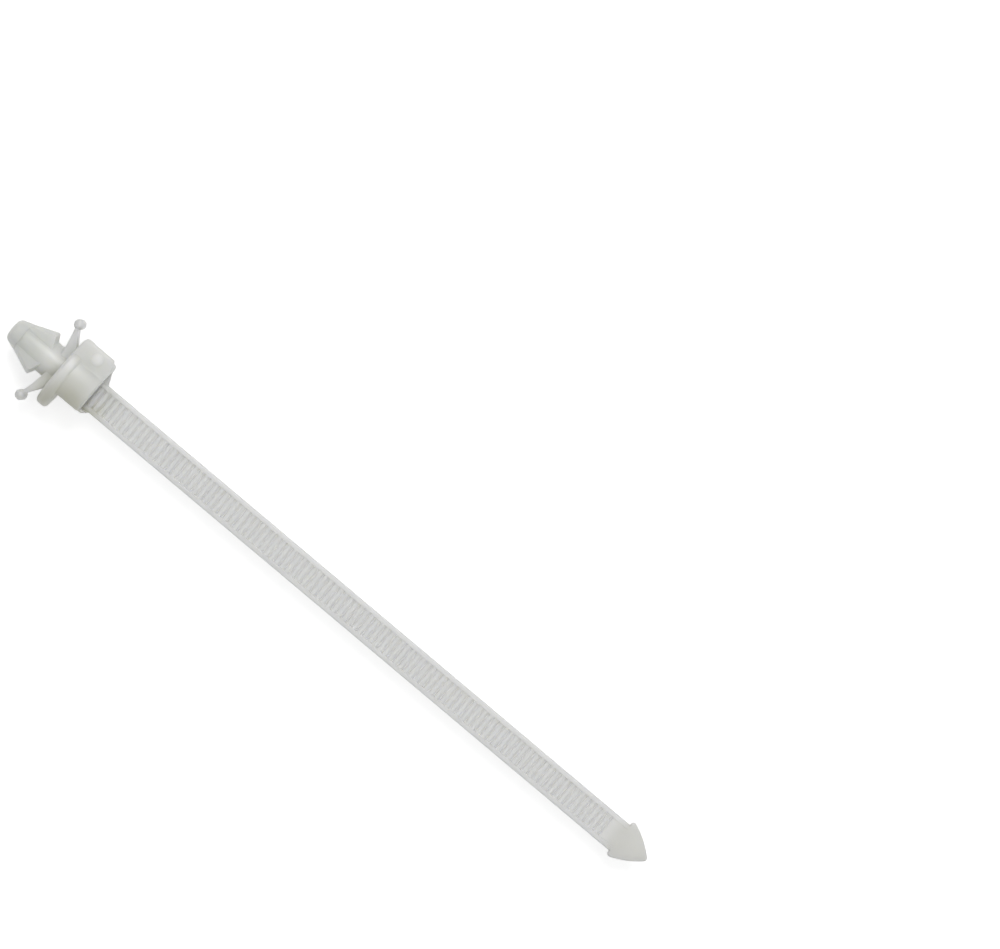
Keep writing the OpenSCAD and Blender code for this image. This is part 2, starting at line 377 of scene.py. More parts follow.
@dataclass
class SnapPost:
    """Round post with a barbed, round-capped arrowhead."""

    post_radius: float = 2.65
    post_rings: int = 8
    barb_radius: float = 3.75
    nose_height: float = 9.1
    nose_radius: float = 1.7
    nose_softness: float = 0.72
    barb_height: float = 3.3
    barb_land: float = 0.3
    barb_undercut: float = 0.6
    barb_softness: float = 0.12
    cap_height: float = 7.1
    cap_radius: float = 2.325
    ridge_radius: float = 1.95
    barb_thickness: float = 4.9
    neck_thickness: float = 2.6

    def cone(self) -> BMesh:
        """Spins the whole nose cone and rounds its flat end and barb edges.

        Returns:
            The cone.
        """
        inner = self.post_radius - MERGE
        slope = self.barb_undercut / (self.barb_radius - self.post_radius)
        low = self.barb_height - slope * (self.barb_radius - inner)
        cone = spun(
            [
                (0.0, low),
                (inner, low),
                (self.barb_radius, self.barb_height),
                (self.barb_radius, self.barb_height + self.barb_land),
                (self.cap_radius, self.cap_height),
                (self.nose_radius, self.nose_height),
                (0.0, self.nose_height),
            ]
        )
        nose = ring_edges(cone, self.nose_radius, self.nose_height)
        soften(cone, nose, self.nose_softness, BROAD_STRIPS)
        soften(cone, ring_edges(cone, self.barb_radius, self.barb_height), self.barb_softness)
        return cone

    def envelope(self) -> bpy.types.Object:
        """Makes the flat tapered slab and round cap that the cone is kept within.

        Returns:
            The envelope.
        """
        low = self.barb_height - self.barb_undercut - MERGE
        high = self.cap_height + MERGE
        wide = self.barb_radius + PAST
        top = self.nose_height + PAST
        side = [
            (low, -self.barb_thickness / 2),
            (high, -self.neck_thickness / 2),
            (high, self.neck_thickness / 2),
            (low, self.barb_thickness / 2),
        ]
        cap = [(0.0, self.cap_height), (wide, self.cap_height), (wide, top), (0.0, top)]
        return united("arrow_envelope", [prism(side, Axis.X, -wide, wide), spun(cap)])

    def shaft(self) -> BMesh:
        """Spins the post, which runs on as a tapering ridge into the cap.

        Returns:
            The post, turned so that its facets lie between the cone's.
        """
        height = self.barb_height + MERGE
        rings = [-MERGE + height * ring / self.post_rings for ring in range(self.post_rings + 1)]
        post = spun(
            [
                (0.0, -MERGE),
                *[(self.post_radius, ring) for ring in rings],
                (self.ridge_radius, self.cap_height),
                (self.ridge_radius, self.cap_height + MERGE),
                (0.0, self.cap_height + MERGE),
            ]
        )
        half_step = Matrix.Rotation(math.pi / SPIN_STEPS, 3, "Y")
        bmesh.ops.rotate(post, verts=post.verts, cent=(0.0, 0.0, 0.0), matrix=half_step)
        return post

    def build(self) -> bpy.types.Object:
        """Cuts the cone to its envelope and joins it to the post.

        Returns:
            The post with its arrowhead.
        """
        post = self.shaft()
        arrow = combine(as_object("arrowhead", self.cone()), self.envelope(), Join.KEEP)
        return combine(arrow, as_object("post", post), Join.ADD)


@dataclass
class Wings:
    """Pair of springy wings that rise from the flange, with a rounded bead along each tip."""

    bead_reach: float = 6.6
    bead_radius: float = 0.8
    bead_height: float = 2.0
    bead_facets: int = 32
    bead_roundness: float = 0.96
    bead_strips: int = 7
    width: float = 4.2
    root: float = 3.6
    neck: float = 0.4
    crown: float = 1.25
    sink: float = 0.3
    saddle_steps: int = 24
    edge_softness: float = 0.12

    def saddle(self) -> BMesh:
        """Draws both wings and the saddle between them, and rounds their front and back edges.

        Returns:
            The saddle.
        """
        climb = self.bead_height + self.neck - self.crown
        radius = (self.bead_reach**2 + climb**2) / (2 * climb)
        sway = math.degrees(math.asin(self.bead_reach / radius))
        sunk = self.root - self.sink * (self.bead_reach - self.root) / self.bead_height
        outline = [(-self.bead_reach, self.bead_height), (-sunk, -self.sink)]
        outline += [(sunk, -self.sink), (self.bead_reach, self.bead_height)]
        centre = (0.0, radius + self.crown)
        outline += arc(centre, radius, -90.0 + sway, -90.0 - sway, self.saddle_steps)
        leaf = prism(outline, Axis.Z, -self.width / 2, self.width / 2)
        soften(leaf, edges_where(leaf, lambda a, b: abs(a.z - b.z) < NEAR), self.edge_softness)
        return leaf

    def bead(self, side: float) -> BMesh:
        """Makes the round-ended bead along one wing tip.

        Args:
            side: -1 for the left tip, 1 for the right one.

        Returns:
            The bead.
        """
        bead = rod(self.bead_radius, self.width + self.bead_radius, self.bead_facets)
        soften(bead, sharp_edges(bead), self.bead_radius * self.bead_roundness, self.bead_strips)
        place = (side * self.bead_reach, self.bead_height, 0.0)
        bmesh.ops.translate(bead, verts=bead.verts, vec=place)
        return bead

    def build(self) -> bpy.types.Object:
        """Joins the saddle and its two beads."""
        return united("wings", [self.saddle(), self.bead(-1.0), self.bead(1.0)])


@dataclass
class Strap:
    """Toothed strap with raised rails and an arrow tip."""

    width: float = 4.8
    thickness: float = 1.15
    rail_width: float = 0.75
    rail_softness: float = 0.2
    rail_flare: float = 0.35
    back_softness: float = 0.15
    crest_drop: float = 0.12
    tooth_pitch: float = 0.98
    tooth_depth: float = 0.42
    valley_floor: float = 0.2
    valley_softness: float = 0.06
    lock_run: float = 0.05
    ramp_run: float = 0.2
    crest_softness: float = 0.05
    plain_length: float = 1.2
    point_y: float = -110.9
    tip_width: float = 6.2
    tip_length: float = 5.1
    tip_softness: float = 0.15
    point_radius: float = 0.5
    point_steps: int = 4
    shoulder_radius: float = 0.45
    shoulder_steps: int = 5
    side_swell: float = 0.24
    side_steps: int = 14

    @property
    def shoulder_y(self) -> float:
        """Height of the arrow tip's shoulders."""
        return self.point_y + self.tip_length

    @property
    def channel_half(self) -> float:
        """Half the width between the rails."""
        return self.width / 2 - self.rail_width

    def blank(self, root_y: float, rail_top: float) -> BMesh:
        """Draws the plain strap and rounds its long edges.

        Args:
            root_y: Where the strap starts inside the head.
            rail_top: Height of the rails.

        Returns:
            The plain strap.
        """
        half = self.width / 2
        back = rail_top - self.thickness
        section = [(-half, back), (half, back), (half, rail_top), (-half, rail_top)]
        strap = prism(section, Axis.Y, self.shoulder_y, root_y)
        rails = edges_where(
            strap, lambda a, b: abs(a.y - b.y) > LONG and min(a.z, b.z) > rail_top - NEAR
        )
        soften(strap, rails, self.rail_softness)
        rear = edges_where(strap, lambda a, b: abs(a.y - b.y) > LONG and max(a.z, b.z) < back + NEAR)
        soften(strap, rear, self.back_softness)
        return strap

    def channel(self, foot_y: float, rail_top: float) -> BMesh:
        """Draws the shallow channel between the rails.

        Args:
            foot_y: Foot of the head.
            rail_top: Height of the rails.

        Returns:
            The space to cut away.
        """
        half = self.channel_half
        wide = half + self.crest_drop * self.rail_flare
        crest = rail_top - self.crest_drop
        section = [
            (-half, crest),
            (half, crest),
            (wide, rail_top + NEAR),
            (wide, rail_top + PAST),
            (-wide, rail_top + PAST),
            (-wide, rail_top + NEAR),
        ]
        return prism(section, Axis.Y, self.shoulder_y - PAST, foot_y)

    def valleys(self, foot_y: float, rail_top: float) -> BMesh:
        """Draws one valley and repeats it along the strap, a tooth apart.

        Args:
            foot_y: Foot of the head.
            rail_top: Height of the rails.

        Returns:
            The spaces to cut away.
        """
        half, soft = self.channel_half, self.crest_softness
        crest = rail_top - self.crest_drop
        floor = crest - self.tooth_depth
        lock = -self.valley_floor - self.lock_run
        section = [
            (self.ramp_run, crest),
            (0.0, floor),
            (-self.valley_floor, floor),
            (lock, crest - soft),
            (lock - soft, crest),
            (lock - soft, crest + soft),
            (self.ramp_run, crest + soft),
        ]
        valley = prism(section, Axis.X, -half, half)
        low = edges_where(valley, lambda a, b: abs(a.x - b.x) > LONG and max(a.z, b.z) < floor + NEAR)
        soften(valley, low, self.valley_softness, FINE_STRIPS)
        bmesh.ops.translate(valley, verts=valley.verts, vec=(0.0, foot_y, 0.0))
        count = int((foot_y - self.shoulder_y - self.plain_length) / self.tooth_pitch)
        first = list(valley.verts) + list(valley.edges) + list(valley.faces)
        for index in range(1, count):
            verts = made_verts(bmesh.ops.duplicate(valley, geom=first))
            bmesh.ops.translate(valley, verts=verts, vec=(0.0, -index * self.tooth_pitch, 0.0))
        return valley

    def tip_side(self) -> Outline:
        """Outlines the arrow tip's right side: shoulder, swelling flank and half of the point.

        Returns:
            The points from the shoulder to the point.
        """
        inset = self.shoulder_radius
        shoulder = Vector((self.tip_width / 2 - inset, self.shoulder_y - inset))
        point = Vector((0.0, self.point_y + self.point_radius))
        lean = math.degrees(math.atan2(point.x - shoulder.x, shoulder.y - point.y))
        swell = math.degrees(math.atan(4 * self.side_swell / (shoulder - point).length))
        side = arc(tuple(shoulder), inset, 90.0, lean + swell, self.shoulder_steps)
        lower = arc(tuple(point), self.point_radius, lean - swell, -90.0, self.point_steps)
        start, end = Vector(side[-1]), Vector(lower[0])
        chord = end - start
        bend = (start + end) / 2 + Vector((-chord.y, chord.x)).normalized() * 2 * self.side_swell
        for step in range(1, self.side_steps):
            t = step / self.side_steps
            side.append(tuple(start * (1 - t) ** 2 + bend * 2 * t * (1 - t) + end * t**2))
        return side + lower

    def tip(self, rail_top: float) -> BMesh:
        """Draws the arrow tip, with a tongue that runs back into the strap.

        Args:
            rail_top: Height of the rails.

        Returns:
            The tip.
        """
        y, side = self.shoulder_y, self.tip_side()
        tongue = self.width / 2 - self.rail_softness
        outline = [(tongue, y + MERGE), (tongue, y)] + side
        outline += [(-a, b) for a, b in reversed(side[:-1])]
        outline += [(-tongue, y), (-tongue, y + MERGE)]
        tip = prism(outline, Axis.Z, rail_top - self.thickness, rail_top - self.crest_drop)
        free = edges_where(tip, lambda a, b: abs(a.z - b.z) < NEAR and max(a.y, b.y) < y + NEAR)
        soften(tip, free, self.tip_softness)
        return tip

    def build(self, foot_y: float, rail_top: float) -> bpy.types.Object:
        """Cuts the channel and valleys from the strap and adds its tip.

        Args:
            foot_y: Foot of the head.
            rail_top: Height of the rails.

        Returns:
            The strap.
        """
        strap = as_object("strap", self.blank(foot_y + self.back_softness, rail_top))
        combine(strap, as_object("channel", self.channel(foot_y, rail_top)), Join.CUT)
        combine(strap, as_object("valleys", self.valleys(foot_y, rail_top)), Join.CUT)
        return combine(strap, as_object("tip", self.tip(rail_top)), Join.ADD)


@dataclass(frozen=True)
class Draft:
    """Shift of an outline's points at the front and at the back of a piece."""

    front: float
    back: float

    def at(self, z: float) -> float:
        """Shift of the points on one side of the frame's middle plane."""
        return self.front if z > 0.0 else self.back


@dataclass
class RatchetHead:
    """Rounded head with its side block, tail slot and pawl."""

    strap: Strap
    flange: Flange
    barrel_radius: float = 5.4
    barrel_steps: int = 72
    height: float = 4.05
    front_wall: float = 2.4
    side_wall: float = 0.5
    wall_softness: float = 0.35
    foot_softness: float = 0.3
    tail_clearance: float = 0.28
    side_clearance: float = 0.15
    web_drop: float = 0.85
    web_width: float = 1.9
    web_depth: float = 0.8
    cheek_front: float = 0.4
    cheek_drop: float = 1.15
    block_width: float = 3.5
    block_front: float = 4.7
    block_softness: float = 0.3
    block_sharp_turn: float = 28.0
    block_back: float = 2.5
    block_drop: float = 0.15
    block_front_radius: float = 0.5
    block_back_radius: float = 2.5
    block_top_radius: float = 0.8
    block_arc_steps: int = 8
    back_arc_steps: int = 12
    slant_width: float = 1.8
    slant_height: float = 1.15
    slant_draft: Draft = Draft(-0.1, 0.4)
    corner_draft: Draft = Draft(-0.78, 0.53)
    side_draft: Draft = Draft(0.12, -0.6)
    mark_radius: float = 0.95
    mark_height: float = 0.08
    mark_softness: float = 0.06
    mark_facets: int = 48
    mark_rise: float = 2.6
    mark_inset: float = 1.6
    pawl_root: float = 2.2
    pawl_length: float = 2.0
    pawl_thickness: float = 0.5
    pawl_gap: float = 0.3
    pawl_bite: float = 0.25
    pawl_teeth: int = 2

    @property
    def foot_y(self) -> float:
        """Height of the head's foot."""
        return -self.flange.thickness - self.height

    @property
    def slot_half(self) -> float:
        """Half the width of the tail slot."""
        return self.strap.width / 2 + self.side_clearance

    @property
    def slot_height(self) -> float:
        """Height of the tail slot across its run."""
        return self.strap.thickness + self.tail_clearance

    @property
    def slot_angle(self) -> float:
        """Climb of the tail slot in radians."""
        return math.atan(self.height / (2 * self.barrel_radius - self.front_wall))

    @property
    def slot_end(self) -> float:
        """Distance along the slot from its mouth to a place behind the head."""
        return (self.rail_top + self.barrel_radius) / math.cos(self.slot_angle) + PAST

    @property
    def rail_top(self) -> float:
        """Height of the strap's rails, at the back edge of the slot's mouth, to a hundredth."""
        mouth = self.slot_height / math.sin(self.slot_angle)
        return round(self.barrel_radius - self.front_wall - mouth, 2)

    @property
    def wall_x(self) -> float:
        """Outer face of the thin wall beside the slot."""
        return -self.slot_half - self.side_wall

    @property
    def block_x(self) -> float:
        """Outer wall of the block."""
        return self.slot_half + self.block_width

    def in_slot(self, along: float, above: float) -> tuple[float, float]:
        """Y and Z of a place along the slot from its mouth and above the slot's floor."""
        rise, run = math.sin(self.slot_angle), math.cos(self.slot_angle)
        return self.foot_y + along * rise + above * run, self.rail_top - along * run + above * rise

    def barrel(self) -> BMesh:
        """Draws the round body, flat on its thin side, and rounds its corners and foot.

        Returns:
            The barrel.
        """
        wall_x = self.wall_x
        open_turn = 180.0 - math.degrees(math.acos(-wall_x / self.barrel_radius))
        outline = arc((0.0, 0.0), self.barrel_radius, -open_turn, open_turn, self.barrel_steps)
        barrel = prism(outline, Axis.Y, self.foot_y, -MERGE)
        corners = edges_where(
            barrel, lambda a, b: abs(a.y - b.y) > LONG and abs(a.x - wall_x) < NEAR
        )
        soften(barrel, corners, self.wall_softness, CORNER_STRIPS)
        foot = edges_where(barrel, lambda a, b: max(a.y, b.y) < self.foot_y + NEAR)
        soften(barrel, foot, self.foot_softness)
        return barrel

    def block_outline(self) -> BMesh:
        """Draws the block's front outline and shifts its foot and side from front to back.

        Returns:
            The solid that the block is kept within.
        """
        x, radius = self.block_x, self.block_top_radius
        top, foot = -self.block_drop, self.foot_y - HAIR
        corner = foot + self.slant_height
        outline = [(0.0, top), (0.0, foot), (x - self.slant_width, foot), (x, corner)]
        outline += arc((x - radius, top - radius), radius, 0.0, 90.0, self.block_arc_steps)
        shell = prism(outline, Axis.Z, -self.block_back - PAST, self.block_front + PAST)
        for vert in shell.verts:
            if vert.co.x < HAIR:
                continue
            if vert.co.y < foot + HAIR:
                vert.co.y += self.slant_draft.at(vert.co.z)
            elif vert.co.y < corner + HAIR:
                vert.co.y += self.corner_draft.at(vert.co.z)
            vert.co.x += self.side_draft.at(vert.co.z)
        return shell

    def block(self) -> bpy.types.Object:
        """Makes the solid block with its rounded corners and slanting foot.

        Returns:
            The block.
        """
        front, back, x = self.block_front_radius, self.block_back_radius, self.block_x
        plan = [(0.0, -self.block_back)]
        plan += arc((x - back, -self.block_back + back), back, -90.0, 0.0, self.back_arc_steps)
        plan += arc((x - front, self.block_front - front), front, 0.0, 90.0, self.block_arc_steps)
        plan += [(0.0, self.block_front)]
        body = as_object("block", prism(plan, Axis.Y, self.foot_y - PAST, 0.0))
        combine(body, as_object("block_outline", self.block_outline()), Join.KEEP)
        with editing(body) as solid:
            edges = sharp_edges(solid, self.block_sharp_turn)
            soften(solid, edges, self.block_softness, CORNER_STRIPS)
        return body

    def mark(self) -> BMesh:
        """Makes the plain round moulding mark on the block's face.

        Returns:
            The mark, on a stem that runs into the block.
        """
        top = self.block_front + self.mark_height
        mark = rod(self.mark_radius, top, self.mark_facets)
        place = (self.block_x - self.mark_inset, self.foot_y + self.mark_rise, top / 2)
        bmesh.ops.translate(mark, verts=mark.verts, vec=place)
        rim = edges_where(mark, lambda a, b: min(a.z, b.z) > top - NEAR)
        soften(mark, rim, self.mark_softness, FINE_STRIPS)
        return mark

    def mouth_cheek(self) -> bpy.types.Object:
        """Makes the slanting cheek that runs from the thin wall down past the slot's mouth.

        Returns:
            The cheek.
        """
        half, foot, wall = self.strap.width / 2, self.foot_y, self.wall_x
        crest, high = self.rail_top - self.strap.crest_drop, self.barrel_radius - self.front_wall
        start, fall = foot - self.cheek_front + HAIR, self.cheek_drop - self.cheek_front
        fall *= (-self.slot_half - wall) / (-half - wall)
        outside, inside, root = wall + 2 * HAIR, -self.slot_half - HAIR, foot + MERGE
        front = [(outside, root), (outside, start), (inside, start - fall), (inside, root)]
        side = [
            (foot + PAST, high),
            (foot - self.cheek_front, high),
            (foot - self.cheek_drop - PAST, crest - PAST),
            (foot + PAST, crest - PAST),
        ]
        cheek = as_object("mouth_cheek", prism(front, Axis.Z, crest - MERGE, high + PAST))
        return combine(cheek, as_object("cheek_side", prism(side, Axis.X, wall - PAST, 0.0)), Join.KEEP)

    def webs(self) -> list[BMesh]:
        """Makes the cheek and the webs that widen the strap into the head.

        Returns:
            The cheek, the web beside the strap and the web behind it.
        """
        half, foot, wall = self.strap.width / 2, self.foot_y, self.wall_x
        back = self.rail_top - self.strap.thickness
        low, high = back + self.strap.back_softness + HAIR, self.rail_top - self.strap.crest_drop
        cheek = [
            (wall + HAIR, foot + MERGE),
            (wall + HAIR, foot - self.cheek_front),
            (-half, foot - self.cheek_drop),
            (MERGE - half, foot - self.cheek_drop),
            (MERGE - half, foot + MERGE),
        ]
        web = [
            (half - MERGE, foot + MERGE),
            (half - MERGE, foot - self.web_drop),
            (half, foot - self.web_drop),
            (half + self.web_width, foot),
            (half + self.web_width, foot + 2 * MERGE),
        ]
        webs = [prism(outline, Axis.Z, low, high) for outline in (cheek, web)]
        behind = [
            (foot + MERGE, back + MERGE),
            (foot - self.web_depth, back + self.strap.back_softness),
            (foot, back - self.web_depth),
            (foot + MERGE, back - self.web_depth),
        ]
        inside = half - self.strap.rail_softness
        webs.append(prism(behind, Axis.X, -inside, inside))
        return webs

    def slot_prism(self, corners: Outline, half: float) -> BMesh:
        """Draws a shape across the head, with its corners given along the slot and above its floor."""
        return prism([self.in_slot(*corner) for corner in corners], Axis.X, -half, half)

    def tail_slot(self) -> BMesh:
        """Makes the passage for the tail.

        Returns:
            The space to cut away.
        """
        end, high = self.slot_end, self.slot_height
        corners = [(-PAST, 0.0), (end, 0.0), (end, high), (-PAST, high)]
        return self.slot_prism(corners, self.slot_half)

    def pawl_pocket(self) -> BMesh:
        """Makes the space under and beside the pawl.

        Returns:
            The space to cut away.
        """
        root, end = self.pawl_root, self.slot_end
        low = -self.pawl_thickness - self.pawl_gap
        corners = [(root, low), (end, low), (end, MERGE), (root, MERGE)]
        return self.slot_prism(corners, self.strap.channel_half + self.pawl_gap / 2)

    def pawl(self) -> BMesh:
        """Makes the springy tongue and its teeth.

        Returns:
            The pawl.
        """
        top = self.tail_clearance + self.strap.crest_drop + self.pawl_bite
        root, end = self.pawl_root - MERGE, self.pawl_root + self.pawl_length
        pitch, flat = self.strap.tooth_pitch, self.strap.valley_floor / 2
        corners = [(root, 0.0), (root, -self.pawl_thickness), (end, -self.pawl_thickness)]
        for index in range(self.pawl_teeth):
            tooth = end - index * pitch
            heel = tooth - pitch
            corners += [(tooth, top), (tooth - flat, top)]
            corners += [(heel + self.strap.lock_run, 0.0), (heel, 0.0)]
        return self.slot_prism(corners, self.strap.channel_half - self.pawl_gap / 2)

    def build(self) -> bpy.types.Object:
        """Joins body, block and webs, and opens the slot with its pawl.

        Returns:
            The head.
        """
        head = united("head", [self.barrel(), self.mark(), *self.webs()])
        combine(head, self.mouth_cheek(), Join.ADD)
        combine(head, self.block(), Join.ADD)
        combine(head, as_object("tail_slot", self.tail_slot()), Join.CUT)
        combine(head, as_object("pawl_pocket", self.pawl_pocket()), Join.CUT)
        return combine(head, as_object("pawl", self.pawl()), Join.ADD)


def empty_tree(owner: bpy.types.Material | bpy.types.World) -> bpy.types.NodeTree:
    """Switches on the nodes of a material or a world and clears them.

    Args:
        owner: Material or world.

    Returns:
        Its empty node tree.
    """
    owner.use_nodes = True
    owner.node_tree.nodes.clear()
    return owner.node_tree


def add_node(
    tree: bpy.types.NodeTree, kind: str, inputs: dict[str | int, Any] | None = None, **options: Any
) -> bpy.types.Node:
    """Adds a node to a tree.

    Args:
        tree: Tree that takes the node.
        kind: Type of the node.
        inputs: Values of the inputs that are the same all over.
        options: Settings of the node itself.

    Returns:
        The node.
    """
    node = tree.nodes.new(kind)
    for name, value in options.items():
        setattr(node, name, value)
    for socket, value in (inputs or {}).items():
        node.inputs[socket].default_value = value
    return node


def shader_group(
    name: str, takes: dict[str, Socket], gives: dict[str, Socket]
) -> tuple[bpy.types.NodeTree, bpy.types.Node, bpy.types.Node]:
    """Starts a shader group with named sockets.

    Args:
        name: Name of the group.
        takes: Kind of each input.
        gives: Kind of each output.

    Returns:
        The group, its input node and its output node.
    """
    group = bpy.data.node_groups.new(name, "ShaderNodeTree")
    for sockets, way in ((takes, "INPUT"), (gives, "OUTPUT")):
        for label, kind in sockets.items():
            group.interface.new_socket(label, in_out=way, socket_type=kind.value)
    return group, add_node(group, "NodeGroupInput"), add_node(group, "NodeGroupOutput")


def wire(source: bpy.types.Node, output: str, target: bpy.types.Node, socket: str | int) -> None:
    """Links an output of one node to an input of another."""
    source.id_data.links.new(source.outputs[output], target.inputs[socket])


def noise_node(tree: bpy.types.NodeTree, scale: float, detail: float) -> bpy.types.Node:
    """Adds a noise that lies on the piece's own coordinates.

    Args:
        tree: Tree that takes the noise.
        scale: Grains to the metre.
        detail: Finer layers in the noise.

    Returns:
        The noise.
    """
    noise = add_node(tree, "ShaderNodeTexNoise", {"Scale": scale, "Detail": detail})
    wire(add_node(tree, "ShaderNodeTexCoord"), "Object", noise, "Vector")
    return noise


@dataclass(frozen=True)
class ToneAndPaintedLight:
    """Colour laid round a point of the tie, with distances in metres: mostly painted shade and painted
    light, besides the thick nylon's deeper tone and the frosted mark.
    """

    place: str
    point: Point
    inner: float
    outer: float
    colour: Colour


@dataclass(frozen=True)
class MilkyNylon:
    """Natural nylon as moulded: milky, faintly mottled, with a soft sheen, in metres, with painted
    shade and painted light laid over its colour round points of the tie.
    """

    thin: Colour = (0.825, 0.83, 0.81, 1.0)
    tones_and_painted_light: tuple[ToneAndPaintedLight, ...] = (
        # Head: the thick nylon's deeper, yellower tone, darkened further as painted shade.
        ToneAndPaintedLight("head", (0.0015, -0.0045, 0.001), 0.0035, 0.0075, (0.705, 0.715, 0.688, 1.0)),
        # Thin wall: painted shade on the head's left side, away from the key lamp.
        ToneAndPaintedLight("thin wall", (-0.0035, -0.0038, 0.001), 0.003, 0.0072, (0.6, 0.6, 0.515, 1.0)),
        # Arrowhead: a darker tone over the arrowhead, partly the thick nylon's own and partly painted
        # shade.
        ToneAndPaintedLight("arrowhead", (0.0, 0.0065, 0.0), 0.0035, 0.006, (0.73, 0.745, 0.72, 1.0)),
        # Slot mouth: painted light, near white, that lightens the shadow the lip casts on the strap's
        # root.
        ToneAndPaintedLight("slot mouth", (0.0, -0.0058, 0.0016), 0.0022, 0.0033, (0.99, 0.99, 0.97, 1.0)),
        # Strap tip: painted shade that darkens the thin arrow tip.
        ToneAndPaintedLight("strap tip", (0.0, -0.1085, -0.0008), 0.003, 0.006, (0.68, 0.682, 0.655, 1.0)),
        # Beads: painted shade on both, deeper on the left bead, away from the key lamp.
        ToneAndPaintedLight("left bead", (-0.0066, 0.002, 0.0), 0.0024, 0.0032, (0.68, 0.685, 0.67, 1.0)),
        ToneAndPaintedLight("right bead", (0.0066, 0.002, 0.0), 0.0024, 0.0032, (0.73, 0.735, 0.73, 1.0)),
        ToneAndPaintedLight("mark", (0.00445, -0.00335, 0.0047), 0.0003, 0.0012, (0.85, 0.855, 0.85, 1.0)),
    )
    refraction: float = 1.53
    clear: float = 0.1
    milkiness: float = 1.0
    depth: float = 0.0035
    spread: Point = (1.0, 0.98, 0.86)
    cloud: float = 0.07
    cloud_scale: float = 420.0
    cloud_detail: float = 3.0
    roughness: float = 0.4
    roughness_swing: float = 0.1
    gloss: float = 0.16
    gloss_roughness: float = 0.2
    ripple_scale: float = 900.0
    grain_scale: float = 3600.0
    grain_share: float = 0.35
    skin_detail: float = 2.0
    bump_strength: float = 0.35
    bump_height: float = 0.00006

    def near_group(self) -> bpy.types.NodeTree:
        """Makes the group that marks the places near a point.

        Returns:
            A group that takes a point, an inner and an outer distance and puts out a mask.
        """
        takes = {"Point": Socket.POINT, "Inner": Socket.NUMBER, "Outer": Socket.NUMBER}
        group, entry, leave = shader_group("near_point", takes, {"Mask": Socket.NUMBER})
        reach = add_node(group, "ShaderNodeVectorMath", operation="DISTANCE")
        fade = add_node(group, "ShaderNodeMapRange", {"To Min": 1.0, "To Max": 0.0})
        fade.interpolation_type = "SMOOTHSTEP"
        wire(add_node(group, "ShaderNodeTexCoord"), "Object", reach, 0)
        wire(entry, "Point", reach, 1)
        wire(reach, "Value", fade, "Value")
        wire(entry, "Inner", fade, "From Min")
        wire(entry, "Outer", fade, "From Max")
        wire(fade, "Result", leave, "Mask")
        return group

    def cloud_group(self) -> bpy.types.NodeTree:
        """Makes the group that clouds a colour.

        Returns:
            A group that takes a colour and a swing and puts out a colour.
        """
        takes = {"Color": Socket.COLOUR, "Cloud": Socket.NUMBER}
        group, entry, leave = shader_group("milky_cloud", takes, {"Color": Socket.COLOUR})
        noise = noise_node(group, self.cloud_scale, self.cloud_detail)
        level = add_node(group, "ShaderNodeMath", {1: 0.5}, operation="SUBTRACT")
        swing = add_node(group, "ShaderNodeMath", {2: 1.0}, operation="MULTIPLY_ADD")
        tone = add_node(group, "ShaderNodeVectorMath", operation="SCALE")
        wire(noise, "Fac", level, 0)
        wire(level, "Value", swing, 0)
        wire(entry, "Cloud", swing, 1)
        wire(entry, "Color", tone, 0)
        wire(swing, "Value", tone, "Scale")
        wire(tone, "Vector", leave, "Color")
        return group

    def skin_group(self) -> bpy.types.NodeTree:
        """Makes the group for the fine unevenness of the moulded skin.

        Returns:
            A group that takes a level and a swing and puts out a roughness and a height.
        """
        takes = {"Level": Socket.NUMBER, "Swing": Socket.NUMBER}
        gives = {"Roughness": Socket.NUMBER, "Height": Socket.NUMBER}
        group, entry, leave = shader_group("moulded_skin", takes, gives)
        ripple = noise_node(group, self.ripple_scale, self.skin_detail)
        grain = noise_node(group, self.grain_scale, self.skin_detail)
        swing = add_node(group, "ShaderNodeMath", operation="MULTIPLY_ADD")
        total = add_node(group, "ShaderNodeMath", {1: self.grain_share}, operation="MULTIPLY_ADD")
        wire(ripple, "Fac", swing, 0)
        wire(entry, "Swing", swing, 1)
        wire(entry, "Level", swing, 2)
        wire(swing, "Value", leave, "Roughness")
        wire(grain, "Fac", total, 0)
        wire(ripple, "Fac", total, 2)
        wire(total, "Value", leave, "Height")
        return group

    def blended_tones_and_painted_light(self, tree: bpy.types.NodeTree) -> bpy.types.NodeSocket | None:
        """Blends each patch of tone, painted shade and painted light in turn into the colour of the
        thin nylon.

        Args:
            tree: Node tree of the material.

        Returns:
            The blended colour.
        """
        near = self.near_group()
        colour: bpy.types.NodeSocket | None = None
        # Each patch, mostly painted shade and painted light, is blended over the thin nylon's colour.
        for patch in self.tones_and_painted_light:
            reach = {"Point": patch.point, "Inner": patch.inner, "Outer": patch.outer}
            mask = add_node(tree, "ShaderNodeGroup", reach, node_tree=near)
            blend = add_node(tree, "ShaderNodeMix", data_type="RGBA", label=patch.place)
            blend.inputs[MIX_FIRST].default_value = self.thin
            blend.inputs[MIX_SECOND].default_value = patch.colour
            wire(mask, "Mask", blend, "Factor")
            if colour is not None:
                tree.links.new(colour, blend.inputs[MIX_FIRST])
            colour = blend.outputs[MIX_RESULT]
        return colour

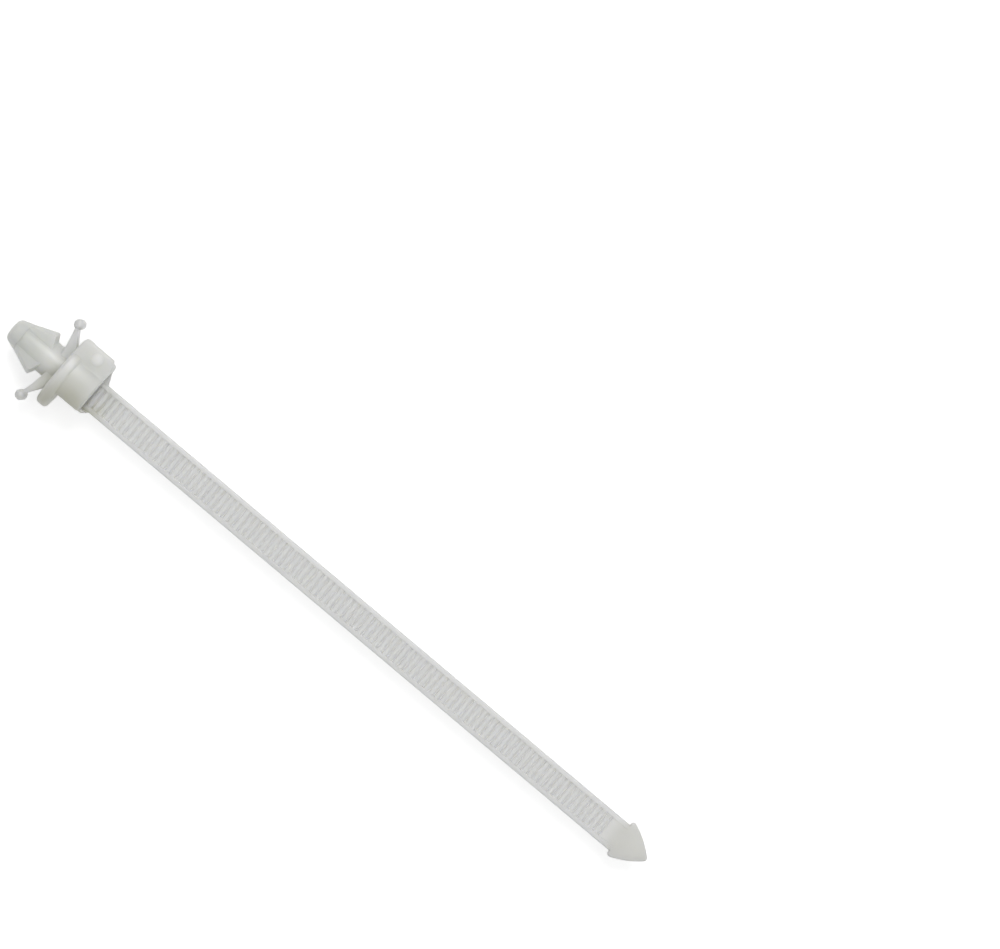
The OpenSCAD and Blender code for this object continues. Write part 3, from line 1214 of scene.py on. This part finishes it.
    def material(self) -> bpy.types.Material:
        """Makes the nylon material.

        Returns:
            The material.
        """
        made = bpy.data.materials.new("milky_nylon")
        tree = empty_tree(made)
        plain = {
            "IOR": self.refraction,
            "Transmission Weight": self.clear,
            "Coat Weight": self.gloss,
            "Coat Roughness": self.gloss_roughness,
            "Subsurface Weight": self.milkiness,
            "Subsurface Radius": self.spread,
            "Subsurface Scale": self.depth,
        }
        shader = add_node(tree, "ShaderNodeBsdfPrincipled", plain)
        cloud = add_node(tree, "ShaderNodeGroup", {"Cloud": self.cloud}, node_tree=self.cloud_group())
        least = self.roughness - self.roughness_swing / 2
        uneven = {"Level": least, "Swing": self.roughness_swing}
        skin = add_node(tree, "ShaderNodeGroup", uneven, node_tree=self.skin_group())
        relief = {"Strength": self.bump_strength, "Distance": self.bump_height}
        bump = add_node(tree, "ShaderNodeBump", relief)
        tree.links.new(self.blended_tones_and_painted_light(tree), cloud.inputs["Color"])
        wire(cloud, "Color", shader, "Base Color")
        wire(skin, "Roughness", shader, "Roughness")
        wire(skin, "Height", bump, "Height")
        wire(bump, "Normal", shader, "Normal")
        wire(shader, "BSDF", add_node(tree, "ShaderNodeOutputMaterial"), "Surface")
        return made


@dataclass
class CableTie:
    """The whole tie as one moulded skin."""

    flange: Flange
    post: SnapPost
    wings: Wings
    strap: Strap
    finish: MilkyNylon

    def build(self) -> bpy.types.Object:
        """Joins every sub-assembly, dresses the skin and ties it to the frame.

        Returns:
            The finished piece.
        """
        head = RatchetHead(self.strap, self.flange)
        tie = as_object("nylon_moulding", self.flange.build())
        strap = self.strap.build(head.foot_y, head.rail_top)
        for piece in (self.post.build(), self.wings.build(), head.build(), strap):
            LOG.info("joining %s with %d faces", piece.name, len(piece.data.polygons))
            combine(tie, piece, Join.ADD)
        with editing(tie) as skin:
            bmesh.ops.scale(skin, verts=skin.verts, vec=(MM, MM, MM))
        for face in tie.data.polygons:
            face.use_smooth = True
        tie.data.set_sharp_from_angle(angle=SOFT_ANGLE)
        tie.data.materials.clear()
        tie.data.materials.append(self.finish.material())
        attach(tie, "root")
        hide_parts("cable_tie")
        return tie


@dataclass(frozen=True)
class Lamp:
    """One soft lamp, placed and sized in metres."""

    name: str
    place: Point
    size: float
    power: float
    colour: Point

    def build(self, aim: Vector) -> bpy.types.Object:
        """Hangs the lamp and turns it towards a point.

        Args:
            aim: Point that the lamp faces.

        Returns:
            The lamp.
        """
        light = bpy.data.lights.new(self.name, "AREA")
        light.shape = "DISK"
        light.size = self.size
        light.energy = self.power
        light.color = self.colour
        lamp = bpy.data.objects.new(self.name, light)
        lamp.location = Vector(self.place)
        lamp.rotation_euler = (aim - lamp.location).to_track_quat("-Z", "Y").to_euler()
        bpy.context.scene.collection.objects.link(lamp)
        return lamp


@dataclass
class Studio:
    """White floor, soft light and the camera high above the tie.

    The floor's level and the camera's target and distance are millimetres, the floor's reach and the
    camera's near limit metres, and the camera's leans and turn degrees.
    """

    floor_level: float = -5.92
    floor_half: float = 1.5
    floor_tone: float = 0.8
    floor_lift: float = 0.55
    ambient: float = 0.42
    lamps: tuple[Lamp, ...] = (
        Lamp("key_softbox", (0.58, 0.12, 1.0), 0.6, 5.4, (1.0, 0.99, 0.97)),
        Lamp("top_softbox", (0.0, -0.2, 1.1), 0.9, 2.6, (0.98, 0.99, 1.0)),
    )
    target: Point = (29.16, -58.308, -0.9)
    distance: float = 580.51
    lean_right: float = 0.3
    lean_nose: float = 2.5
    turn: float = 49.76
    lens: float = 144.0
    sensor: float = 36.0
    near_limit: float = 0.01

    def white_floor(self) -> bpy.types.Material:
        """Makes the floor's material: it takes shadows and shows as white to the camera.

        Returns:
            The material.
        """
        made = bpy.data.materials.new("white_floor")
        tree = empty_tree(made)
        grey = (self.floor_tone, self.floor_tone, self.floor_tone, 1.0)
        matt = add_node(tree, "ShaderNodeBsdfDiffuse", {"Color": grey})
        ray = add_node(tree, "ShaderNodeLightPath")
        seen = ray.outputs["Is Camera Ray"]
        for kind in ("Is Glossy Ray", "Is Transmission Ray"):
            either = add_node(tree, "ShaderNodeMath", operation="MAXIMUM")
            tree.links.new(seen, either.inputs[0])
            wire(ray, kind, either, 1)
            seen = either.outputs["Value"]
        level = add_node(tree, "ShaderNodeMath", {1: self.floor_lift}, operation="MULTIPLY")
        lift = add_node(tree, "ShaderNodeEmission")
        both = add_node(tree, "ShaderNodeAddShader")
        tree.links.new(seen, level.inputs[0])
        wire(level, "Value", lift, "Strength")
        wire(matt, "BSDF", both, 0)
        wire(lift, "Emission", both, 1)
        wire(both, "Shader", add_node(tree, "ShaderNodeOutputMaterial"), "Surface")
        return made

    def floor(self) -> bpy.types.Object:
        """Lays the level floor just under the flange's rim.

        Returns:
            The floor.
        """
        sheet = bmesh.new()
        bmesh.ops.create_grid(sheet, x_segments=1, y_segments=1, size=self.floor_half)
        bmesh.ops.translate(sheet, verts=sheet.verts, vec=(0.0, 0.0, self.floor_level * MM))
        floor = as_object("floor", sheet)
        floor.data.materials.append(self.white_floor())
        return floor

    def light(self) -> None:
        """Hangs the soft lamps and fills the room with even white."""
        aim = Vector(self.target) * MM
        for lamp in self.lamps:
            lamp.build(aim)
        world = bpy.data.worlds.new("white_room")
        bpy.context.scene.world = world
        tree = empty_tree(world)
        fill = add_node(tree, "ShaderNodeBackground", {"Strength": self.ambient})
        white = add_node(tree, "ShaderNodeBackground")
        pick = add_node(tree, "ShaderNodeMixShader")
        wire(add_node(tree, "ShaderNodeLightPath"), "Is Camera Ray", pick, "Fac")
        wire(fill, "Background", pick, 1)
        wire(white, "Background", pick, 2)
        wire(pick, "Shader", add_node(tree, "ShaderNodeOutputWorld"), "Surface")

    def camera(self) -> bpy.types.Object:
        """Sets the camera above the tie, turned as the photograph is.

        Returns:
            The camera.
        """
        angles = (self.lean_right, self.lean_nose, self.turn)
        aside, along, turn = (math.radians(angle) for angle in angles)
        back = Vector((math.sin(aside), math.sin(along), 0.0))
        back.z = math.sqrt(1.0 - back.length_squared)
        up = Vector((math.sin(turn), math.cos(turn), 0.0))
        up = (up - back * up.dot(back)).normalized()
        axes = Matrix((up.cross(back), up, back)).transposed().to_4x4()
        place = (Vector(self.target) + back * self.distance) * MM
        lens = bpy.data.cameras.new("camera")
        lens.sensor_width = self.sensor
        lens.lens = self.lens
        lens.clip_start = self.near_limit
        camera = bpy.data.objects.new("camera", lens)
        camera.matrix_world = Matrix.Translation(place) @ axes
        bpy.context.scene.collection.objects.link(camera)
        bpy.context.scene.camera = camera
        return camera

    def build(self) -> None:
        """Sets up floor, light, camera and plain colour handling."""
        bpy.context.scene.view_settings.view_transform = "Standard"
        self.floor()
        self.light()
        self.camera()


def main() -> None:
    """Builds the tie and the studio and reports each piece."""
    logging.basicConfig(level=logging.INFO)
    tie = CableTie(Flange(), SnapPost(), Wings(), Strap(), MilkyNylon()).build()
    LOG.info("%s has %d faces", tie.name, len(tie.data.polygons))
    Studio().build()


if __name__ == "__main__":
    main()
